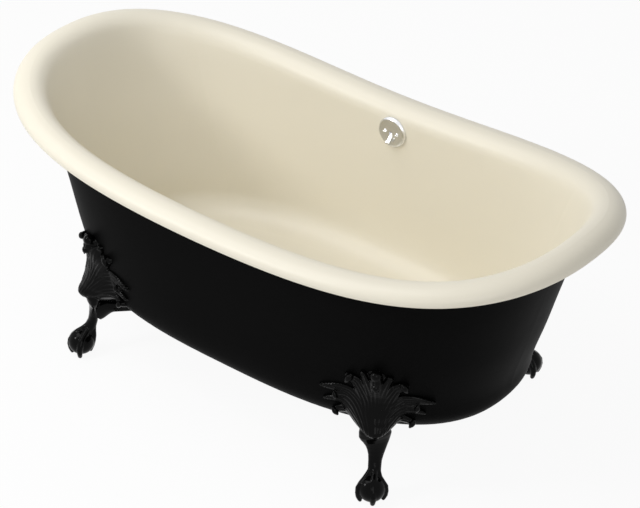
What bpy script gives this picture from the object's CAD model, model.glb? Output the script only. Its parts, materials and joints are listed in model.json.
import json
import math

import bmesh
import bpy
from bpy.props import FloatProperty, FloatVectorProperty, PointerProperty
from mathutils import Matrix, Vector


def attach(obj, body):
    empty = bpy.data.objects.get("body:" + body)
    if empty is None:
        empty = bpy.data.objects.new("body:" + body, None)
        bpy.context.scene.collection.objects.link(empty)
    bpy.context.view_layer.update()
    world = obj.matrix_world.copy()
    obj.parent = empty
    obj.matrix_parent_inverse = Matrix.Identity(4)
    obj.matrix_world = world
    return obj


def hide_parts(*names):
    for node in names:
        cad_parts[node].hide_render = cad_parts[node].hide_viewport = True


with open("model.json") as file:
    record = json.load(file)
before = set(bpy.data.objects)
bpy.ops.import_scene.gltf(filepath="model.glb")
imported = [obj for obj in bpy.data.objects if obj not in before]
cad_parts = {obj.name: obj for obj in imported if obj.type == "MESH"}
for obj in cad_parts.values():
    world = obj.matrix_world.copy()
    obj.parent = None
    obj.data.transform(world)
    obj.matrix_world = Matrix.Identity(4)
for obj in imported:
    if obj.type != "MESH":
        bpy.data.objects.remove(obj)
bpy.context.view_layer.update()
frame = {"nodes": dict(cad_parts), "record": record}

bl_info = {
    "name": "Clawfoot bathtub",
    "version": (1, 0, 0),
    "blender": (4, 5, 0),
    "location": "View3D > Sidebar > Bathtub",
    "description": "Dresses the packed bathtub: its cast feet, its finishes and a plain studio",
    "category": "Object",
}

# How often a search halves the stretch that it looks in.
halvings = 30

# The tub's outside, in metres, as the part is built. The feet lie against it.
tub_length = 1.549
tub_width = 0.789
rim_powers = (3.87, 2.29)
rim_low_height = 0.576
rim_end_rise = 0.099
rise_terms = ((2, 0.88), (4, -0.345), (6, 0.465))
roll_reach = 0.040
roll_height = 0.028
roll_to_wall = 0.0353
base_half_sizes = (0.5897, 0.3187)
base_powers = (2.9, 2.22)
underside_height = 0.1355
base_fillet = 0.0755
wall_bow = 1.0

# Where the front right foot stands, which way it points, and its tongue under the tub.
foot_x = 0.441
foot_y = 0.3115
foot_angle = math.radians(45)
foot_gap = 0.0006
stud_setback = 0.140
stud_hole_radius = 0.0065
tongue_top = 0.131
tongue_thickness = 0.008
tongue_width = 0.032
tongue_root = 0.080


def linear(code):
    """Linear colour of an sRGB hex value such as "#EDE6D6"."""
    parts = [int(code[i:i + 2], 16) / 255 for i in (1, 3, 5)]
    return tuple(p / 12.92 if p <= 0.04045 else ((p + 0.055) / 1.055) ** 2.4 for p in parts)


def colour(name, description, code):
    """A colour that a user may change."""
    return FloatVectorProperty(name=name, description=description, default=linear(code),
                               subtype="COLOR", min=0.0, max=1.0)


def length(name, description, default):
    """A length that a user may change, in metres."""
    return FloatProperty(name=name, description=description, default=default, min=0.0,
                         unit="LENGTH", precision=4)


class FinishColours(bpy.types.PropertyGroup):
    """Colours of the bathtub's finishes."""
    enamel: colour("Porcelain enamel", "Biscuit glaze fired on inside and over the rim", "#EEE8D7")
    paint: colour("Outside paint", "Satin black paint on the cast iron", "#0A0A0A")
    foot_black: colour("Foot enamel", "Gloss black enamel on the cast feet", "#060606")
    chrome: colour("Chrome", "Plating on the overflow plate, lever and drain", "#E9EAEC")
    brass: colour("Brass", "Cast and drawn waste fittings", "#B9924A")
    zinc: colour("Zinc plating", "Foot studs, washers and nuts", "#A7ABAE")
    rubber: colour("Rubber", "Washers and gaskets", "#191919")
    putty: colour("Putty", "Bed of putty under the drain flange", "#A79C84")
    floor: colour("Floor", "Plain studio floor", "#F4F4F4")


class FootSizes(bpy.types.PropertyGroup):
    """Sizes of a ball and claw foot."""
    ball_radius: length("Ball radius", "Radius of the ball that the claws hold", 0.0318)
    ball_flat: length("Ball flat", "How much of the ball is ground off at the floor", 0.0006)
    leaf_half_span: length("Leaf half span", "How far the leaf reaches to each side", 0.140)
    leaf_relief: length("Leaf relief", "How far a lobe stands off what it grows from", 0.0065)
    tip_rise: length("Tip rise", "How much further a lobe's tip stands off", 0.0060)
    flute_depth: length("Flute depth", "Depth of the hollows between a lobe's ribs", 0.0026)
    casting_step: length("Casting step", "Fineness of the cast surface", 0.0013)


class StudioSizes(bpy.types.PropertyGroup):
    """Light levels of the studio."""
    key: FloatProperty(name="Key light", description="Power of the soft light, front left",
                       default=45.0, min=0.0, unit="POWER")
    fill: FloatProperty(name="Fill light", description="Power of the soft light, front right",
                        default=22.0, min=0.0, unit="POWER")
    top: FloatProperty(name="Top light", description="Power of the soft light above, left",
                       default=41.0, min=0.0, unit="POWER")
    room: FloatProperty(name="Room light", description="Strength of the light all round",
                        default=0.36, min=0.0)


# ---------------------------------------------------------------- the tub's outside

def superellipse(half_sizes, powers, turn):
    """Point of a rounded plan curve in the direction of a turn, counted on a unit circle."""
    c, s = abs(math.cos(turn)), abs(math.sin(turn))
    low, high = 0.5, 2.0
    for _ in range(halvings):
        reach = (low + high) / 2
        if (reach * c) ** powers[0] + (reach * s) ** powers[1] > 1:
            high = reach
        else:
            low = reach
    return Vector((half_sizes[0] * low * math.cos(turn), half_sizes[1] * low * math.sin(turn)))


def plan_normal(half_sizes, powers, spot):
    """Unit normal of the plan curve at one of its points."""
    slope = [power * math.copysign(abs(at / half) ** (power - 1), at) / half
             for half, power, at in zip(half_sizes, powers, spot)]
    return Vector(slope).normalized()


def rim_top(x):
    """Height of the top of the rim along the tub."""
    q = 2 * x / tub_length
    return rim_low_height + rim_end_rise * sum(share * q ** power for power, share in rise_terms)


def roll_point(turn, out, rise):
    """Point beside the roll's middle line: out along the plan normal, and up from the top."""
    halves = (tub_length / 2 - roll_reach, tub_width / 2 - roll_reach)
    spot = superellipse(halves, rim_powers, turn)
    flat = spot + plan_normal(halves, rim_powers, spot) * out
    return Vector((flat.x, flat.y, rim_top(spot.x) + rise))


def outside_point(turn, height, stand):
    """Point that stands off the tub's outside at a height."""
    fillet_top = underside_height + base_fillet
    if height < fillet_top:
        radius = base_fillet + stand
        angle = math.asin(min(1.0, (fillet_top - height) / radius))
        inset = radius * (1 - math.cos(angle)) - stand
        spot = superellipse([half - inset for half in base_half_sizes], base_powers, turn)
        return Vector((spot.x, spot.y, fillet_top - radius * math.sin(angle)))
    high = roll_point(turn, stand - roll_to_wall, -roll_height)
    share = (height - fillet_top) / (high.z - fillet_top)
    spot = superellipse([half + stand for half in base_half_sizes], base_powers, turn)
    bowed = share ** wall_bow
    return Vector((spot.x * (1 - bowed) + high.x * bowed,
                   spot.y * (1 - bowed) + high.y * bowed, height))


# ---------------------------------------------------------------- making meshes

def section(point, along, outward, width, depth):
    """Matrix that carries the unit circle to an oval section at a point of a path."""
    along = along.normalized()
    across = along.cross(outward).normalized()
    outward = across.cross(along)
    turn = Matrix((across, outward, along)).transposed().to_4x4()
    return Matrix.Translation(point) @ turn @ Matrix.Diagonal((width / 2, depth / 2, 1, 1))


def extrude_end(bm, face, keep):
    """Extrude a bar's end face. The old end goes too, unless it is the bar's other end."""
    grown = bmesh.ops.extrude_face_region(bm, geom=[face])["geom"]
    end = next(item for item in grown if isinstance(item, bmesh.types.BMFace))
    if not keep and face.is_valid:
        bmesh.ops.delete(bm, geom=[face], context="FACES_ONLY")
    return end


def sweep(bm, sections, segments=14):
    """Closed bar whose oval follows a list of sections."""
    ring = bmesh.ops.create_circle(bm, cap_ends=True, radius=1.0, segments=segments,
                                   matrix=sections[0])
    face = ring["verts"][0].link_faces[0]
    for i, (before, after) in enumerate(zip(sections, sections[1:])):
        face = extrude_end(bm, face, keep=i == 0)
        bmesh.ops.transform(bm, matrix=after @ before.inverted(), verts=face.verts[:])


def along_path(points, sizes, outwards):
    """Sections along a path of points, each square to its neighbours."""
    sections = []
    for i, point in enumerate(points):
        along = points[min(i + 1, len(points) - 1)] - points[max(i - 1, 0)]
        sections.append(section(point, along, outwards[i], *sizes[i]))
    return sections


def new_piece(name, bm):
    """Object at the origin that holds a finished bmesh."""
    mesh = bpy.data.meshes.new(name)
    bm.to_mesh(mesh)
    bm.free()
    piece = bpy.data.objects.new(name, mesh)
    bpy.context.scene.collection.objects.link(piece)
    return piece


def with_modifiers(piece):
    """Replace a piece's mesh by what its modifiers make of it."""
    graph = bpy.context.evaluated_depsgraph_get()
    finished = bpy.data.meshes.new_from_object(piece.evaluated_get(graph))
    piece.modifiers.clear()
    piece.data = finished


def remove(piece):
    """Delete a helper piece."""
    bpy.data.objects.remove(piece)


def boolean(piece, other, operation):
    """Join another closed piece to this one, or cut it out."""
    change = piece.modifiers.new(operation.title(), "BOOLEAN")
    change.operation = operation
    change.solver = "MANIFOLD"
    change.object = other
    with_modifiers(piece)
    remove(other)


# ---------------------------------------------------------------- materials

def add_node(tree, kind, inputs=None, **settings):
    """Add a node, give it its settings, and fill or link its inputs."""
    node = tree.nodes.new(kind)
    for key, value in settings.items():
        setattr(node, key, value)
    for key, value in (inputs or {}).items():
        if isinstance(value, bpy.types.NodeSocket):
            tree.links.new(value, node.inputs[key])
        else:
            node.inputs[key].default_value = value
    return node


def new_material(name):
    """Empty material, with its tree and its shader."""
    material = bpy.data.materials.new(name)
    material.use_nodes = True
    tree = material.node_tree
    tree.nodes.clear()
    shader = add_node(tree, "ShaderNodeBsdfPrincipled")
    add_node(tree, "ShaderNodeOutputMaterial", {"Surface": shader.outputs["BSDF"]})
    return material, tree, shader


def pattern(tree, size, detail=2.0):
    """Noise on the object's own coordinates, whose spots are about size metres across."""
    place = add_node(tree, "ShaderNodeTexCoord").outputs["Object"]
    return add_node(tree, "ShaderNodeTexNoise",
                    {"Vector": place, "Scale": 1 / size, "Detail": detail}).outputs["Fac"]


def between(tree, value, low, high):
    """Map a pattern's middle range to run from low to high."""
    return add_node(tree, "ShaderNodeMapRange",
                    {"Value": value, "From Min": 0.3, "From Max": 0.7, "To Min": low,
                     "To Max": high}).outputs["Result"]


def shades(tree, value, colour_value, low, high):
    """A colour that a pattern darkens and lightens a little."""
    ramp = add_node(tree, "ShaderNodeValToRGB", {"Fac": value})
    for stop, level in zip(ramp.color_ramp.elements, (low, high)):
        stop.color = (*[part * level for part in colour_value], 1)
    ramp.color_ramp.elements[0].position = 0.3
    ramp.color_ramp.elements[1].position = 0.7
    return ramp.outputs["Color"]


def relief(tree, value, height):
    """Surface relief from a pattern, height metres deep."""
    return add_node(tree, "ShaderNodeBump",
                    {"Height": value, "Distance": height, "Strength": 1.0}).outputs["Normal"]


def set_shader(shader, **values):
    """Set or link the shader's own sockets; an underscore stands for a space."""
    for key, value in values.items():
        socket = shader.inputs[key.replace("_", " ")]
        if isinstance(value, bpy.types.NodeSocket):
            shader.id_data.links.new(value, socket)
        else:
            socket.default_value = value


def porcelain_enamel(colours):
    """Glass fired on cast iron. It flows flat, with a faint orange peel in its reflections."""
    material, tree, shader = new_material("porcelain enamel")
    peel = pattern(tree, 0.009, 1.0)
    set_shader(shader, Base_Color=shades(tree, pattern(tree, 0.30), colours.enamel, 0.985, 1.0),
               Roughness=0.40, IOR=1.5, Specular_IOR_Level=0.40,
               Normal=relief(tree, peel, 0.000010))
    return material


def satin_paint(colours):
    """Flat satin paint over sand-cast iron: it takes most of the shine off the metal."""
    material, tree, shader = new_material("satin black paint on cast iron")
    grain = pattern(tree, 0.0035, 4.0)
    set_shader(shader, Base_Color=shades(tree, grain, colours.paint, 0.8, 1.15),
               Roughness=0.50, IOR=1.5, Specular_IOR_Level=0.016,
               Normal=relief(tree, grain, 0.00010))
    return material


def gloss_enamel(colours):
    """Stoved gloss enamel, thick enough to round the casting's edges and shine like lacquer."""
    material, tree, shader = new_material("gloss black enamel")
    set_shader(shader, Base_Color=(*colours.foot_black, 1),
               Roughness=between(tree, pattern(tree, 0.02), 0.10, 0.16), IOR=1.5,
               Specular_IOR_Level=0.07, Normal=relief(tree, pattern(tree, 0.004, 2.0), 0.00005))
    return material


def chrome_plate(colours):
    """Polished chrome: a mirror, with the faintest haze of handling."""
    material, tree, shader = new_material("polished chrome plate")
    set_shader(shader, Base_Color=(*colours.chrome, 1), Metallic=1.0,
               Roughness=between(tree, pattern(tree, 0.012, 3.0), 0.18, 0.26))
    return material


def brass_metal(colours):
    """Unlacquered brass, dulled in patches where it has been handled."""
    material, tree, shader = new_material("unlacquered brass")
    tarnish = pattern(tree, 0.018, 4.0)
    set_shader(shader, Base_Color=shades(tree, tarnish, colours.brass, 0.78, 1.05), Metallic=1.0,
               Roughness=between(tree, tarnish, 0.36, 0.24))
    return material


def zinc_plate(colours):
    """Zinc-plated steel: grey, and a little cloudy."""
    material, tree, shader = new_material("zinc-plated steel")
    cloud = pattern(tree, 0.004, 3.0)
    set_shader(shader, Base_Color=shades(tree, cloud, colours.zinc, 0.88, 1.04), Metallic=1.0,
               Roughness=between(tree, cloud, 0.34, 0.46))
    return material


def washer_rubber(colours):
    """Moulded rubber with a powdery face."""
    material, tree, shader = new_material("moulded rubber")
    bloom = pattern(tree, 0.002, 3.0)
    set_shader(shader, Base_Color=shades(tree, bloom, colours.rubber, 0.8, 1.3), IOR=1.5,
               Roughness=0.75, Normal=relief(tree, bloom, 0.00004))
    return material


def plumbers_putty(colours):
    """Set putty: dry, dense and slightly grainy."""
    material, tree, shader = new_material("set putty")
    grit = pattern(tree, 0.0012, 3.0)
    set_shader(shader, Base_Color=shades(tree, grit, colours.putty, 0.9, 1.05), IOR=1.45,
               Roughness=0.85, Normal=relief(tree, grit, 0.00008))
    return material


finishes = {
    "porcelain": porcelain_enamel,
    "cast_iron_paint": satin_paint,
    "foot_enamel": gloss_enamel,
    "chrome": chrome_plate,
    "brass": brass_metal,
    "zinc_steel": zinc_plate,
    "rubber": washer_rubber,
    "putty": plumbers_putty,
}


def finish(slot):
    """The material of one of the record's slots, made once."""
    key = "finish of " + slot
    if key not in bpy.data.materials:
        material = finishes[slot](bpy.context.scene.bathtub_colours)
        material.name = key
    return bpy.data.materials[key]


# ---------------------------------------------------------------- the feet

ahead = Vector((math.cos(foot_angle), -math.sin(foot_angle), 0))
aside = Vector((math.sin(foot_angle), math.cos(foot_angle), 0))
up = Vector((0, 0, 1))
foot_spot = Vector((foot_x, -foot_y, 0))


def foot_point(out, side, height):
    """Point of the front right foot, counted from where its ball stands."""
    return foot_spot + ahead * out + aside * side + up * height


def middle_turn(height):
    """Turn at which the foot's middle plane meets the tub's outside."""
    low, high = math.radians(-89), math.radians(-1)
    for _ in range(halvings):
        turn = (low + high) / 2
        if (outside_point(turn, height, 0) - foot_spot).dot(aside) > 0:
            high = turn
        else:
            low = turn
    return low


def side_turns(height, reach):
    """Pairs of a distance round the tub from the foot's middle plane and its turn."""
    step = 0.01
    pairs = []
    for way in (-1, 1):
        turn = middle_turn(height)
        here = outside_point(turn, height, 0)
        walked = 0.0
        while walked < reach:
            pairs.append((way * walked, turn))
            turn += way * step
            there = outside_point(turn, height, 0)
            walked += (there - here).length
            here = there
    return sorted(pairs)


def turn_beside(pairs, distance):
    """Turn at a distance round the tub, from the pairs of side_turns."""
    for (near, turn), (far, next_turn) in zip(pairs, pairs[1:]):
        if near <= distance <= far:
            return turn + (next_turn - turn) * (distance - near) / (far - near)
    raise ValueError("the distance is past the last pair")


def bezier(points, share):
    """Value or point of a quadratic curve."""
    a, b, c = points
    return a * (1 - share) ** 2 + b * 2 * share * (1 - share) + c * share ** 2


def from_table(table, at):
    """Value at a place between the rows of a table, which stays level past its ends."""
    if at <= table[0][0]:
        return table[0][1]
    for (low, before), (high, after) in zip(table, table[1:]):
        if at <= high:
            share = (at - low) / (high - low)
            return before + (after - before) * share
    return table[-1][1]


# The body of the leaf as (height, size): how far its middle stands off the tub, and how far
# out to each side it falls back to the tub.
body_stand = ((0.146, 0.0), (0.150, 0.0230), (0.155, 0.0380), (0.160, 0.0485), (0.166, 0.0545),
              (0.174, 0.0560), (0.182, 0.0520), (0.192, 0.0430), (0.205, 0.0360),
              (0.218, 0.0290), (0.232, 0.0218), (0.246, 0.0170), (0.260, 0.0152),
              (0.275, 0.0163), (0.290, 0.0180), (0.303, 0.0175), (0.315, 0.0125),
              (0.324, 0.0050), (0.330, 0.0))
body_reach = ((0.146, 0.026), (0.165, 0.044), (0.180, 0.058), (0.200, 0.070), (0.220, 0.072),
              (0.240, 0.066), (0.260, 0.055), (0.280, 0.043), (0.300, 0.034), (0.320, 0.024),
              (0.330, 0.014))

# The knee's height, where distances round the tub are counted.
knee_height = 0.182

# The leaf's middle line as (height, side): it leans towards the tub's long side as it rises.
leaf_middle = ((0.150, 0.0070), (0.240, 0.0060), (0.318, -0.0110))

# The knob at the top of the leaf and the bead below it: height, radius, and how far the
# middle stands off the tub.
knobs = ((0.3180, 0.0132, 0.0135), (0.2915, 0.0090, 0.0245))

# The lobes of the leaf: middle line as (side, height) from the knee to the tip, half widths at
# the knee, between and at the tip, the number of flutes, and the radius of the scroll at the
# tip, which is 0 for a pointed lobe.
leaf_lobes = (
    (((0.0, 0.152), (0.0, 0.240), (0.0, 0.312)), (0.009, 0.024, 0.012), 4, 0.0),
    (((0.004, 0.152), (0.006, 0.266), (0.029, 0.309)), (0.007, 0.020, 0.008), 3, 0.0),
    (((0.007, 0.152), (0.014, 0.266), (0.059, 0.292)), (0.008, 0.024, 0.011), 4, 0.0080),
    (((0.012, 0.153), (0.022, 0.272), (0.126, 0.243)), (0.007, 0.031, 0.004), 5, 0.0),
    (((0.013, 0.153), (0.034, 0.248), (0.090, 0.231)), (0.006, 0.019, 0.008), 3, 0.0060),
    (((0.014, 0.152), (0.048, 0.236), (0.112, 0.211)), (0.006, 0.018, 0.004), 3, 0.0),
    (((0.015, 0.150), (0.044, 0.210), (0.086, 0.183)), (0.007, 0.019, 0.009), 3, 0.0070),
)
lobe_samples = 26

# The sheet that the leaf is raised from: its lower and upper edge, and how deep its back lies
# inside the tub, where the tub's shape cuts it off later.
leaf_low, leaf_high = 0.146, 0.338
leaf_root = 0.007

# How the leaf's face is shaped: how sharply its body is crowned, how square a lobe's edge is,
# and the half widths from which a lobe has its full relief and its full flutes.
body_crown = 1.25
lobe_edge = 0.35
full_relief_width = 0.008
full_flute_width = 0.012


def body(side, height):
    """How far the body of the leaf stands off the tub."""
    reach = from_table(body_reach, height)
    width = max(0.0, 1 - (side / reach) ** 2)
    return from_table(body_stand, height) * width ** body_crown


def lobe_lines():
    """Samples along each lobe: place, way, half width and share of its length."""
    near = 0.02
    lines = []
    for curve, widths, flutes, _ in leaf_lobes:
        points = [Vector(point) for point in curve]
        line = []
        for i in range(lobe_samples + 1):
            share = i / lobe_samples
            way = bezier(points, min(share + near, 1)) - bezier(points, max(share - near, 0))
            line.append((bezier(points, share), way.normalized(), bezier(widths, share), share))
        lines.append((line, flutes))
    return lines


def leaf_stand(sizes, lines, side, height):
    """How far the leaf's face stands off the tub at a place of it."""
    spot = Vector((side, height))
    core = body(side, height)
    best = core - sizes.flute_depth if core > 2 * sizes.flute_depth else -leaf_root / 2
    for line, flutes in lines:
        place, way, half, share = min(line, key=lambda sample: (sample[0] - spot).length_squared)
        beside = spot - place
        across = (way.x * beside.y - way.y * beside.x) / half
        beyond = beside.dot(way) / half if share in (0, 1) else 0.0
        edge = across * across + beyond * beyond
        if edge >= 1:
            continue
        lift = (sizes.leaf_relief * min(1.0, half / full_relief_width)
                + sizes.tip_rise * share ** 3)
        shape = (1 - edge) ** lobe_edge
        hollow = abs(math.sin(math.pi * flutes * (across + 1) / 2)) * (1 - edge)
        depth = sizes.flute_depth * min(1.0, half / full_flute_width)
        best = max(best, core + lift * shape - depth * hollow)
    return best


def faces_of(verts):
    """The faces that meet at some vertices."""
    return list({face for vert in verts for face in vert.link_faces})


def sheet_places(sizes, sheet):
    """Side, height and stand of each vertex of the flat sheet, by its coordinates."""
    lines = lobe_lines()
    stands = {}
    places = {}
    for vert in sheet:
        side = vert.co.x * sizes.leaf_half_span
        height = leaf_low + (leaf_high - leaf_low) * (vert.co.y + 1) / 2
        key = (round(abs(vert.co.x), 5), round(vert.co.y, 5))
        if key not in stands:
            stands[key] = leaf_stand(sizes, lines, abs(side), height)
        places[tuple(vert.co)] = (side, height, stands[key])
    return places


def leaf(bm, sizes, pairs):
    """The whole leaf: a sheet laid on the tub, with its face raised lobe by lobe."""
    columns = round(2 * sizes.leaf_half_span / sizes.casting_step)
    rows = round((leaf_high - leaf_low) / sizes.casting_step)
    sheet = bmesh.ops.create_grid(bm, x_segments=columns, y_segments=rows, size=1.0)["verts"]
    places = sheet_places(sizes, sheet)
    empty = [face for face in faces_of(sheet)
             if all(places[tuple(vert.co)][2] < 0 for vert in face.verts)]
    bmesh.ops.delete(bm, geom=empty, context="FACES")
    back = [vert for vert in sheet if vert.is_valid]
    grown = bmesh.ops.extrude_face_region(bm, geom=faces_of(back))["geom"]
    front = [item for item in grown if isinstance(item, bmesh.types.BMVert)]
    for verts, raised in ((back, False), (front, True)):
        for vert in verts:
            side, height, stand = places[tuple(vert.co)]
            turn = turn_beside(pairs, side + from_table(leaf_middle, height))
            vert.co = outside_point(turn, height, stand if raised else -leaf_root)
    bmesh.ops.recalc_face_normals(bm, faces=faces_of(back + front))


# A scroll's eye: its girth as a share of the scroll's, and its reach.
eye_girth = 0.5
eye_reach = 0.004


def scroll(bm, tip, before, above, radius, half):
    """Round-ended drum across the end of a lobe, with an eye at both ends."""
    way = (tip - before).normalized()
    across = way.cross(above - tip).normalized()
    turn = across.to_track_quat("Z", "Y").to_matrix().to_4x4()
    eye = radius * eye_girth
    for girth, reach, shift in ((radius, half * 1.15, 0.0), (eye, eye_reach, half),
                                (eye, eye_reach, -half)):
        size = Matrix.Diagonal((girth, girth, reach, 1))
        spot = Matrix.Translation(tip + across * shift)
        bmesh.ops.create_icosphere(bm, subdivisions=3, radius=1.0, matrix=spot @ turn @ size)


def scrolls(bm, sizes, pairs):
    """The rolled ends of the lobes on both sides of the leaf."""
    for curve, widths, _, radius in leaf_lobes:
        if not radius:
            continue
        points = [Vector(point) for point in curve]
        before, tip = bezier(points, 0.96), points[2]
        for side in (1, -1):
            spots = []
            for place, rise in ((tip, 0.0), (before, 0.0), (tip, 0.01)):
                turn = turn_beside(pairs, side * place.x + from_table(leaf_middle, place.y))
                stand = sizes.leaf_relief + sizes.tip_rise - radius * 0.1 + rise
                spots.append(outside_point(turn, place.y, stand))
            scroll(bm, *spots, radius, widths[2])


# Each toe's line as (out, side, height, girth), from the ankle over its knuckles to its claw.
front_toe = ((-0.0300, 0, 0.1040, 0.0090), (-0.0245, 0, 0.0885, 0.0110),
             (-0.0165, 0, 0.0735, 0.0125),
             (-0.0040, 0, 0.0640, 0.0135), (0.0080, 0, 0.0575, 0.0155),
             (0.0185, 0, 0.0485, 0.0145), (0.0255, 0, 0.0375, 0.0150),
             (0.0275, 0, 0.0260, 0.0140), (0.0262, 0, 0.0150, 0.0125),
             (0.0232, 0, 0.0060, 0.0110), (0.0215, 0, 0.0015, 0.0090))
side_toe = ((-0.0310, 0.0040, 0.1000, 0.0090), (-0.0275, 0.0060, 0.0850, 0.0110),
            (-0.0225, 0.0075, 0.0720, 0.0125),
            (-0.0150, 0.0105, 0.0630, 0.0138), (-0.0070, 0.0155, 0.0545, 0.0150),
            (0.0000, 0.0235, 0.0455, 0.0155), (0.0035, 0.0300, 0.0360, 0.0150),
            (0.0055, 0.0312, 0.0250, 0.0135), (0.0055, 0.0305, 0.0150, 0.0120),
            (0.0052, 0.0272, 0.0065, 0.0105), (0.0050, 0.0250, 0.0018, 0.0085))
back_toe = ((-0.0335, 0, 0.1000, 0.0100), (-0.0335, 0, 0.0880, 0.0120),
            (-0.0315, 0, 0.0740, 0.0135),
            (-0.0297, 0, 0.0600, 0.0142), (-0.0298, 0, 0.0460, 0.0142),
            (-0.0285, 0, 0.0320, 0.0130), (-0.0260, 0, 0.0190, 0.0115),
            (-0.0225, 0, 0.0080, 0.0095), (-0.0205, 0, 0.0020, 0.0075))

# How far the leg and the roots of the toes lie to one side of the ball, as (height, side).
leg_lean = ((0.050, 0.0), (0.056, 0.0027), (0.062, 0.0050), (0.068, 0.0082), (0.080, 0.0096),
            (0.100, 0.0115))


# A toe is wider than it is deep.
toe_broadness = 1.12


def toe(bm, line, side):
    """A toe that hugs the ball, from its root on the leg to its claw at the floor."""
    points = [foot_point(out, side * across + from_table(leg_lean, height), height)
              for out, across, height, _ in line]
    girths = [(girth * toe_broadness, girth) for *_, girth in line]
    knuckle_height = line[5][2]
    centre = foot_point(0, 0, knuckle_height)
    outwards = [(point - centre).normalized() for point in points]
    sweep(bm, along_path(points, girths, outwards), 18)


# Sections of the leg from the ball up into the knee: out, side, height, width and depth.
leg_sections = (
    (-0.0080, 0.0030, 0.040, 0.0280, 0.0320), (-0.0180, 0.0075, 0.060, 0.0300, 0.0300),
    (-0.0250, 0.0090, 0.073, 0.0304, 0.0270), (-0.0300, 0.0102, 0.086, 0.0311, 0.0240),
    (-0.0320, 0.0118, 0.100, 0.0350, 0.0225), (-0.0330, 0.0127, 0.114, 0.0420, 0.0222),
    (-0.0335, 0.0128, 0.126, 0.0496, 0.0232), (-0.0338, 0.0120, 0.138, 0.0600, 0.0255),
    (-0.0338, 0.0105, 0.148, 0.0690, 0.0300), (-0.0334, 0.0090, 0.156, 0.0740, 0.0350),
    (-0.0336, 0.0080, 0.166, 0.0720, 0.0420), (-0.0365, 0.0070, 0.182, 0.0640, 0.0440),
    (-0.0400, 0.0070, 0.194, 0.0550, 0.0400), (-0.0450, 0.0060, 0.210, 0.0460, 0.0300),
    (-0.0500, 0.0060, 0.226, 0.0340, 0.0200),
)

# Sections of the web behind the leg: out, side, height, width and height of the section.
web_sections = ((-0.036, 0.0110, 0.1080, 0.024, 0.052), (-0.046, 0.0090, 0.1145, 0.026, 0.050),
                (-0.058, 0.0065, 0.1225, 0.029, 0.045), (-0.072, 0.0040, 0.1285, 0.033, 0.037),
                (-0.088, 0.0020, 0.1315, 0.035, 0.030), (-0.112, 0.0, 0.1330, 0.034, 0.026))


def leg(bm):
    """The leg from the ball up into the knee, and the web behind it."""
    middles = [foot_point(*spot[:3]) for spot in leg_sections]
    girths = [spot[3:] for spot in leg_sections]
    sweep(bm, along_path(middles, girths, [ahead] * len(middles)), 48)
    points = [foot_point(*spot[:3]) for spot in web_sections]
    girths = [spot[3:] for spot in web_sections]
    sweep(bm, along_path(points, girths, [-up] * len(points)), 24)


def crown(bm, pairs):
    """The round knob at the top of the leaf and the bead below it."""
    for height, radius, stand in knobs:
        spot = outside_point(turn_beside(pairs, from_table(leaf_middle, height)), height, stand)
        bmesh.ops.create_icosphere(bm, subdivisions=4, radius=radius,
                                   matrix=Matrix.Translation(spot))


def rough_foot(sizes):
    """The front right foot before it is fitted: ball, leg, toes, leaf, scrolls and crown."""
    bm = bmesh.new()
    centre = foot_point(0, 0, sizes.ball_radius - sizes.ball_flat)
    bmesh.ops.create_icosphere(bm, subdivisions=5, radius=sizes.ball_radius,
                               matrix=Matrix.Translation(centre))
    leg(bm)
    toe(bm, front_toe, 1)
    toe(bm, back_toe, 1)
    for side in (1, -1):
        toe(bm, side_toe, side)
    pairs = side_turns(knee_height, sizes.leaf_half_span + 0.02)
    leaf(bm, sizes, pairs)
    scrolls(bm, sizes, pairs)
    crown(bm, pairs)
    return new_piece("foot", bm)


def fuse(foot, step):
    """Make one skin of a foot's parts, and round off the steps between them."""
    cast = foot.modifiers.new("Casting", "REMESH")
    cast.mode = "VOXEL"
    cast.voxel_size = step
    soften = foot.modifiers.new("Fettling", "SMOOTH")
    soften.factor = 0.5
    soften.iterations = 2
    with_modifiers(foot)


def fit(foot):
    """Give a foot its tongue, and cut it to the tub, the stud and the floor."""
    boolean(foot, tongue(), "UNION")
    boolean(foot, new_piece("tub outside", tub_outside_mesh(foot_gap)), "DIFFERENCE")
    boolean(foot, stud_hole(), "DIFFERENCE")
    boolean(foot, under_floor(), "DIFFERENCE")


# The corners' nodes, and how the front right foot is mirrored to each, along X and along Y.
corners = {"foot_front_right": (1, 1), "foot_front_left": (-1, 1),
           "foot_back_right": (1, -1), "foot_back_left": (-1, -1)}


def set_foot(foot, node, mirror):
    """Copy of the front right foot at one of the corners, in place of its node."""
    bm = bmesh.new()
    bm.from_mesh(foot.data)
    bmesh.ops.scale(bm, vec=(*mirror, 1), verts=bm.verts)
    if mirror[0] * mirror[1] < 0:
        bmesh.ops.reverse_faces(bm, faces=bm.faces)
    for face in bm.faces:
        face.smooth = True
    piece = new_piece("sculpted_" + node, bm)
    piece.data.materials.clear()
    piece.data.materials.append(finish("foot_enamel"))
    piece.data.set_sharp_from_angle(angle=math.radians(50))
    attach(piece, "root")
    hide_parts(node)


class BATHTUB_OT_feet(bpy.types.Operator):
    """Sculpt the ball and claw foot, and set one at each corner"""
    bl_idname = "bathtub.feet"
    bl_label = "Feet"

    def execute(self, context):
        sizes = context.scene.bathtub_foot
        foot = rough_foot(sizes)
        fuse(foot, sizes.casting_step)
        fit(foot)
        for node, mirror in corners.items():
            set_foot(foot, node, mirror)
        remove(foot)
        return {"FINISHED"}


# The closed mesh that cuts the feet to the tub: points round it, layers, how much closer
# the layers lie low down, and its top.
cutter_points = 400
cutter_layers = 44
cutter_closeness = 1.6
cutter_top = 0.40


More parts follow.
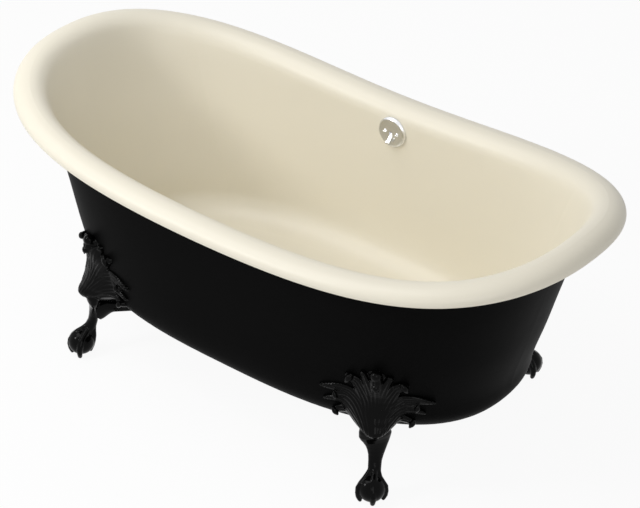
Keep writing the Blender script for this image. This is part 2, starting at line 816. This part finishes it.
def tub_outside_mesh(gap):
    """Closed mesh that fills the tub up to above the feet, with a gap all round."""
    low = underside_height - gap
    bm = bmesh.new()
    turns = [2 * math.pi * i / cutter_points for i in range(cutter_points)]
    ring = bmesh.ops.create_circle(bm, cap_ends=True, radius=1.0,
                                   segments=cutter_points)["verts"]
    face = ring[0].link_faces[0]
    for vert, turn in zip(ring, turns):
        vert.co = outside_point(turn, low, gap)
    for i in range(1, cutter_layers + 1):
        height = low + (cutter_top - low) * (i / cutter_layers) ** cutter_closeness
        order = [vert.co.copy() for vert in ring]
        face = extrude_end(bm, face, keep=i == 1)
        by_place = {tuple(vert.co): vert for vert in face.verts}
        ring = [by_place[tuple(place)] for place in order]
        for vert, turn in zip(ring, turns):
            vert.co = outside_point(turn, height, gap)
    bmesh.ops.recalc_face_normals(bm, faces=bm.faces)
    return bm


def tongue():
    """The flat tongue that goes under the tub, with a round end."""
    bm = bmesh.new()
    low = tongue_top - tongue_thickness
    reach = stud_setback - tongue_root
    middle = foot_point(-tongue_root - reach / 2, 0, low + tongue_thickness / 2)
    turn = Matrix((ahead, aside, up)).transposed().to_4x4()
    size = Matrix.Diagonal((reach, tongue_width, tongue_thickness, 1))
    bmesh.ops.create_cube(bm, size=1.0, matrix=Matrix.Translation(middle) @ turn @ size)
    bar = new_piece("tongue", bm)
    bm = bmesh.new()
    end = Matrix.Translation(foot_point(-stud_setback, 0, low + tongue_thickness / 2))
    bmesh.ops.create_cone(bm, cap_ends=True, segments=64, radius1=tongue_width / 2,
                          radius2=tongue_width / 2, depth=tongue_thickness, matrix=end)
    boolean(bar, new_piece("tongue end", bm), "UNION")
    return bar


def stud_hole():
    """What the stud's hole takes out of the tongue."""
    bm = bmesh.new()
    spot = Matrix.Translation(foot_point(-stud_setback, 0, tongue_top))
    bmesh.ops.create_cone(bm, cap_ends=True, segments=48, radius1=stud_hole_radius,
                          radius2=stud_hole_radius, depth=4 * tongue_thickness, matrix=spot)
    return new_piece("stud hole", bm)


def under_floor():
    """What lies under the floor, which the ball is ground flat against."""
    depth = 0.2
    bm = bmesh.new()
    size = Matrix.Diagonal((1, 1, depth, 1))
    spot = Matrix.Translation((foot_x, -foot_y, -depth / 2))
    bmesh.ops.create_cube(bm, size=1.0, matrix=spot @ size)
    return new_piece("under the floor", bm)


class BATHTUB_OT_finishes(bpy.types.Operator):
    """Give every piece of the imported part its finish"""
    bl_idname = "bathtub.finishes"
    bl_label = "Finishes"

    def execute(self, context):
        for part in frame["record"]["subparts"]:
            node = frame["nodes"][part["node"]]
            node.data.materials.clear()
            node.data.materials.append(finish(part["material_slot"]))
        return {"FINISHED"}


# ---------------------------------------------------------------- the studio

# The soft lights: name, place, size, and the studio property that sets the power.
soft_lights = (("key light", (-2.1, -2.8, 2.5), 0.8, "key"),
               ("fill light", (2.6, -2.4, 2.0), 1.8, "fill"),
               ("top light", (-1.3, -0.9, 3.2), 2.0, "top"))
light_target = Vector((0, 0, 0.35))

# How much of the floor's look is plain white where it is seen; the rest shows the shadow.
floor_whiteness = 0.93


class BATHTUB_OT_stage(bpy.types.Operator):
    """Set up the floor, the lights and the camera"""
    bl_idname = "bathtub.stage"
    bl_label = "Studio"

    def execute(self, context):
        scene = context.scene
        sizes = scene.bathtub_studio
        scene.view_settings.view_transform = "Standard"
        bm = bmesh.new()
        bmesh.ops.create_grid(bm, x_segments=1, y_segments=1, size=30)
        floor = new_piece("studio floor", bm)
        floor.data.materials.append(floor_material(scene.bathtub_colours))
        for name, place, size, level in soft_lights:
            soft_box(name, place, size, getattr(sizes, level))
        room(scene, sizes.room)
        camera(scene)
        return {"FINISHED"}


def soft_box(name, place, size, power):
    """Square soft light that faces the tub."""
    light = bpy.data.lights.new(name, "AREA")
    light.size = size
    light.energy = power
    lamp = bpy.data.objects.new(name, light)
    lamp.location = place
    lamp.rotation_euler = (light_target - lamp.location).to_track_quat("-Z", "Y").to_euler()
    bpy.context.scene.collection.objects.link(lamp)


def seen_directly(tree):
    """1 for rays from the camera, and for those that a mirror or glass sends on."""
    path = add_node(tree, "ShaderNodeLightPath")
    either = add_node(tree, "ShaderNodeMath", {0: path.outputs["Is Camera Ray"],
                                               1: path.outputs["Is Glossy Ray"]},
                      operation="MAXIMUM")
    return add_node(tree, "ShaderNodeMath", {0: either.outputs[0],
                                             1: path.outputs["Is Transmission Ray"]},
                    operation="MAXIMUM").outputs[0]


def floor_material(colours):
    """Matt floor that stays pale where it is seen, and keeps the tub's shadow."""
    material = bpy.data.materials.new("studio floor")
    material.use_nodes = True
    tree = material.node_tree
    tree.nodes.clear()
    matt = add_node(tree, "ShaderNodeBsdfDiffuse", {"Color": (*colours.floor, 1)})
    white = add_node(tree, "ShaderNodeEmission", {"Color": (1, 1, 1, 1), "Strength": 1.0})
    share = add_node(tree, "ShaderNodeMath", {0: seen_directly(tree), 1: floor_whiteness},
                     operation="MULTIPLY")
    mix = add_node(tree, "ShaderNodeMixShader", {0: share.outputs[0], 1: matt.outputs[0],
                                                 2: white.outputs[0]})
    add_node(tree, "ShaderNodeOutputMaterial", {"Surface": mix.outputs[0]})
    return material


def room(scene, strength):
    """Even light from all round, with a white background where it is seen."""
    world = bpy.data.worlds.new("studio room")
    scene.world = world
    world.use_nodes = True
    tree = world.node_tree
    tree.nodes.clear()
    level = add_node(tree, "ShaderNodeMapRange", {"Value": seen_directly(tree),
                                                  "To Min": strength, "To Max": 1.0})
    light = add_node(tree, "ShaderNodeBackground", {"Color": (1, 1, 1, 1),
                                                    "Strength": level.outputs[0]})
    add_node(tree, "ShaderNodeOutputWorld", {"Surface": light.outputs[0]})


# The photograph's view: where its camera stood, and how it was turned.
camera_place = (2.84008, -3.62101, 3.33390)
camera_azimuth = math.radians(37.70)
camera_elevation = math.radians(33.29)
camera_roll = math.radians(1.20)
camera_lens = 132.13
camera_sensor = 36.0


def camera(scene):
    """Camera at the photograph's angle."""
    lens = bpy.data.cameras.new("camera")
    lens.lens = camera_lens
    lens.sensor_width = camera_sensor
    lens.sensor_fit = "HORIZONTAL"
    lens.clip_end = 100
    view = bpy.data.objects.new("camera", lens)
    turn = (Matrix.Rotation(camera_azimuth, 4, "Z")
            @ Matrix.Rotation(math.pi / 2 - camera_elevation, 4, "X")
            @ Matrix.Rotation(camera_roll, 4, "Z"))
    view.matrix_world = Matrix.Translation(camera_place) @ turn
    scene.collection.objects.link(view)
    scene.camera = view


class BATHTUB_PT_panel(bpy.types.Panel):
    """Lists the steps that dress the bathtub, and what can be changed"""
    bl_idname = "BATHTUB_PT_panel"
    bl_label = "Clawfoot bathtub"
    bl_space_type = "VIEW_3D"
    bl_region_type = "UI"
    bl_category = "Bathtub"

    def draw(self, context):
        for group in (context.scene.bathtub_colours, context.scene.bathtub_foot,
                      context.scene.bathtub_studio):
            box = self.layout.box()
            for key in group.__annotations__:
                box.prop(group, key)
        for operator in operators:
            self.layout.operator(operator.bl_idname)


operators = (BATHTUB_OT_finishes, BATHTUB_OT_feet, BATHTUB_OT_stage)
groups = {"bathtub_colours": FinishColours, "bathtub_foot": FootSizes,
          "bathtub_studio": StudioSizes}


def register():
    """Register the properties, the operators and the panel."""
    for name, group in groups.items():
        bpy.utils.register_class(group)
        setattr(bpy.types.Scene, name, PointerProperty(type=group))
    for operator in operators:
        bpy.utils.register_class(operator)
    bpy.utils.register_class(BATHTUB_PT_panel)


def unregister():
    """Take back what register did."""
    bpy.utils.unregister_class(BATHTUB_PT_panel)
    for operator in reversed(operators):
        bpy.utils.unregister_class(operator)
    for name, group in groups.items():
        delattr(bpy.types.Scene, name)
        bpy.utils.unregister_class(group)


def main():
    """Dress the bathtub."""
    register()
    bpy.ops.bathtub.finishes()
    bpy.ops.bathtub.feet()
    bpy.ops.bathtub.stage()


if __name__ == "__main__":
    main()
